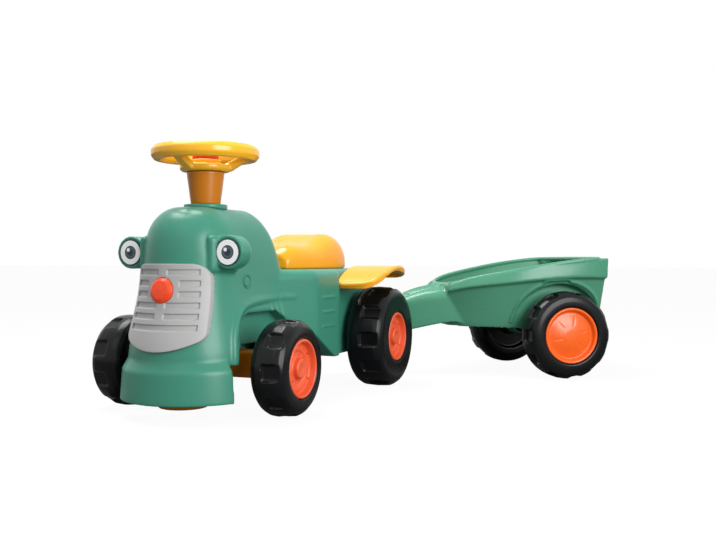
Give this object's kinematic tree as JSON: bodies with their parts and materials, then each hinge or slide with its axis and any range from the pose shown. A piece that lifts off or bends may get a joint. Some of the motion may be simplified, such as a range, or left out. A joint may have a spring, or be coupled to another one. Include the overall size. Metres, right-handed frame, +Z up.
{
  "type": "ride on tractor toy",
  "caption": "Ride-on toy tractor with a friendly face, saddle seat, steering wheel that turns the front axle, free-rolling wheels and a hitched tub trailer.",
  "frame": {"origin": "under the middle of the whole toy's box, on the floor it stands on", "axes": "+X the way the tractor drives, +Y to its left, +Z up"},
  "size_m": [0.886, 0.5912, 0.3425],
  "materials": {
    "body_green": "satin moulded plastic",
    "trailer_green": "glossy moulded plastic",
    "grille_grey": "satin moulded plastic",
    "badge_orange": "glossy moulded plastic",
    "eye_white": "printed disc",
    "pupil_slate": "printed disc",
    "seat_yellow": "glossy moulded plastic",
    "fender_yellow": "glossy moulded plastic",
    "steering_yellow": "glossy moulded plastic",
    "horn_red": "glossy moulded plastic",
    "tyre_black": "satin blow-moulded plastic",
    "hub_orange": "satin moulded plastic",
    "steel": "drawn steel rod",
    "dark_plastic": "dark moulded plastic"
  },
  "bodies": {
    "tractor": {"body_shell": "body_green", "front_bumper": "body_green", "grille": "grille_grey", "grille_badge": "badge_orange", "left_eye_pod": "body_green", "right_eye_pod": "body_green", "left_eye_disc": "eye_white", "right_eye_disc": "eye_white", "left_pupil": "pupil_slate", "right_pupil": "pupil_slate", "side_plugs": "body_green", "seat": "seat_yellow", "left_fender": "fender_yellow", "right_fender": "fender_yellow", "undertray": "dark_plastic", "tray_screws": "steel", "rear_axle": "steel", "rear_axle_nuts": "steel", "rear_axle_bushes": "dark_plastic", "steering_collar": "body_green", "lower_bearing_plate": "dark_plastic", "hitch_bracket": "dark_plastic", "hitch_pin": "steel"},
    "steering": {"steering_shaft": "steel", "steering_column": "steering_yellow", "steering_wheel": "steering_yellow", "front_axle_carrier": "steering_yellow", "thrust_washer": "dark_plastic", "shaft_lock_ring": "steel", "front_axle": "steel", "front_axle_nuts": "steel"},
    "horn": {"horn_button": "horn_red"},
    "trailer": {"trailer_tub": "trailer_green", "trailer_axle": "steel", "trailer_axle_nuts": "steel", "trailer_axle_bushes": "dark_plastic", "drawbar_bush": "dark_plastic"},
    "front_left_roller": {"front_left_wheel": "tyre_black", "front_left_hubcap": "hub_orange"},
    "front_right_roller": {"front_right_wheel": "tyre_black", "front_right_hubcap": "hub_orange"},
    "rear_left_roller": {"rear_left_wheel": "tyre_black", "rear_left_hubcap": "hub_orange"},
    "rear_right_roller": {"rear_right_wheel": "tyre_black", "rear_right_hubcap": "hub_orange"},
    "trailer_left_roller": {"trailer_left_wheel": "tyre_black", "trailer_left_hubcap": "hub_orange"},
    "trailer_right_roller": {"trailer_right_wheel": "tyre_black", "trailer_right_hubcap": "hub_orange"}
  },
  "joints": [
    {"name": "steer", "type": "hinge", "parent": "tractor", "child": "steering", "pos_m": [0.32405, -0.14362, 0.061], "axis": [0, 0, 1], "range_deg": [-10, 10]},
    {"name": "horn_press", "type": "slide", "parent": "steering", "child": "horn", "axis": [0, 0, -1], "range_m": [0, 0.004], "stiffness_N_per_m": 400},
    {"name": "hitch_turn", "type": "hinge", "parent": "tractor", "child": "trailer", "pos_m": [-0.06595, -0.14362, 0.079], "axis": [0, 0, 1], "range_deg": [-6, 114]},
    {"name": "front_left_roll", "type": "hinge", "parent": "steering", "child": "front_left_roller", "pos_m": [0.32405, -0.02462, 0.061], "axis": [0, 1, 0], "continuous": true},
    {"name": "front_right_roll", "type": "hinge", "parent": "steering", "child": "front_right_roller", "pos_m": [0.32405, -0.26262, 0.061], "axis": [0, 1, 0], "continuous": true},
    {"name": "rear_left_roll", "type": "hinge", "parent": "tractor", "child": "rear_left_roller", "pos_m": [0.01805, -0.02262, 0.077], "axis": [0, 1, 0], "continuous": true},
    {"name": "rear_right_roll", "type": "hinge", "parent": "tractor", "child": "rear_right_roller", "pos_m": [0.01805, -0.26462, 0.077], "axis": [0, 1, 0], "continuous": true},
    {"name": "trailer_left_roll", "type": "hinge", "parent": "trailer", "child": "trailer_left_roller", "pos_m": [-0.17532, 0.22808, 0.072], "axis": [0.809, 0.5878, 0], "continuous": true},
    {"name": "trailer_right_roll", "type": "hinge", "parent": "trailer", "child": "trailer_right_roller", "pos_m": [-0.38566, 0.07526, 0.072], "axis": [0.809, 0.5878, 0], "continuous": true}
  ]
}
